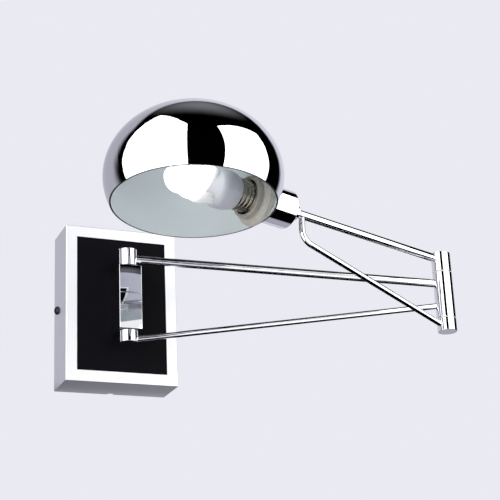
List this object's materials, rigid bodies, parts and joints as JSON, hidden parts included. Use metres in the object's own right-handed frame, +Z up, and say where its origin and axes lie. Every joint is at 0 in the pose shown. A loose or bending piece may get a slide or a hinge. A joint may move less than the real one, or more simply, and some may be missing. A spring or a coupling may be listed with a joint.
{
  "type": "articulating wall light",
  "caption": "Swing-arm wall light: a shallow wall box with a pivot block, hinged braced arms and a swivelling flattened-dome shade over a spiral lamp.",
  "frame": {"origin": "on the wall plane, at the middle of the strap's two slots, behind the centre of the wall box", "axes": "+X to the right along the wall as seen from the room, +Y into the wall, +Z up"},
  "size_m": [0.338, 0.2844, 0.1757],
  "materials": {
    "chrome_plate": "polished",
    "black_lacquer": "satin",
    "zinc_plated_steel": "satin",
    "brass": "machined",
    "nylon": "moulded",
    "lead_insulation": "moulded",
    "porcelain": "glazed",
    "moulded_resin": "moulded",
    "clear_nylon": "moulded",
    "nickel_plate": "plated",
    "black_vitrite": "gloss",
    "lamp_plastic": "moulded",
    "circuit_board": "laminate",
    "coated_glass": "phosphor coated"
  },
  "bodies": {
    "wall_mount": {"wall_strap": "zinc_plated_steel", "cover": "chrome_plate", "inset_panel": "black_lacquer", "backing_plate": "zinc_plated_steel", "cover_screws": "chrome_plate", "pivot_block": "chrome_plate", "bolt_washers": "zinc_plated_steel", "block_bolts": "zinc_plated_steel", "cable_bush": "nylon", "terminal_block": "clear_nylon", "terminal_screws": "brass", "terminal_fixing": "zinc_plated_steel", "earth_screw": "brass", "supply_leads": "lead_insulation", "top_pivot": "brass", "bottom_pivot": "zinc_plated_steel", "pivot_washers": "nylon"},
    "first_arm": {"top_barrel": "chrome_plate", "top_barrel_cap": "chrome_plate", "bottom_barrel": "chrome_plate", "bottom_barrel_cap": "chrome_plate", "first_tube": "chrome_plate", "first_rod": "chrome_plate", "first_lead": "lead_insulation", "elbow_sleeve": "chrome_plate", "elbow_top_pivot": "brass", "elbow_bottom_pivot": "zinc_plated_steel", "elbow_washers": "nylon"},
    "second_arm": {"elbow_top_boss": "chrome_plate", "elbow_top_cap": "chrome_plate", "elbow_bottom_boss": "chrome_plate", "elbow_bottom_cap": "chrome_plate", "second_tube": "chrome_plate", "second_lead": "lead_insulation", "brace_rod": "chrome_plate", "swivel_bush": "chrome_plate", "swivel_grub": "zinc_plated_steel", "swivel_washer": "nylon", "swivel_nut": "zinc_plated_steel"},
    "lamp_head": {"neck_cup": "chrome_plate", "shade": "chrome_plate", "shade_ring": "moulded_resin", "lampholder": "porcelain", "holder_shell": "brass", "holder_contact": "brass", "holder_screws": "zinc_plated_steel", "bulb_shell": "nickel_plate", "bulb_insulator": "black_vitrite", "bulb_contact": "brass", "bulb_housing": "lamp_plastic", "ballast_board": "circuit_board", "bulb_tube": "coated_glass"}
  },
  "joints": [
    {"name": "wall_swing", "type": "hinge", "parent": "wall_mount", "child": "first_arm", "pos_m": [0, -0.056, 0], "axis": [0, 0, 1], "range_deg": [-75, 14]},
    {"name": "elbow", "type": "hinge", "parent": "first_arm", "child": "second_arm", "pos_m": [0.26376, -0.13729, 0], "axis": [0, 0, 1], "range_deg": [-8, 146]},
    {"name": "head_swivel", "type": "hinge", "parent": "second_arm", "child": "lamp_head", "pos_m": [0.26376, -0.13729, 0.032], "axis": [-0.9571, -0.285, 0.0523], "range_deg": [-120, 120]}
  ]
}
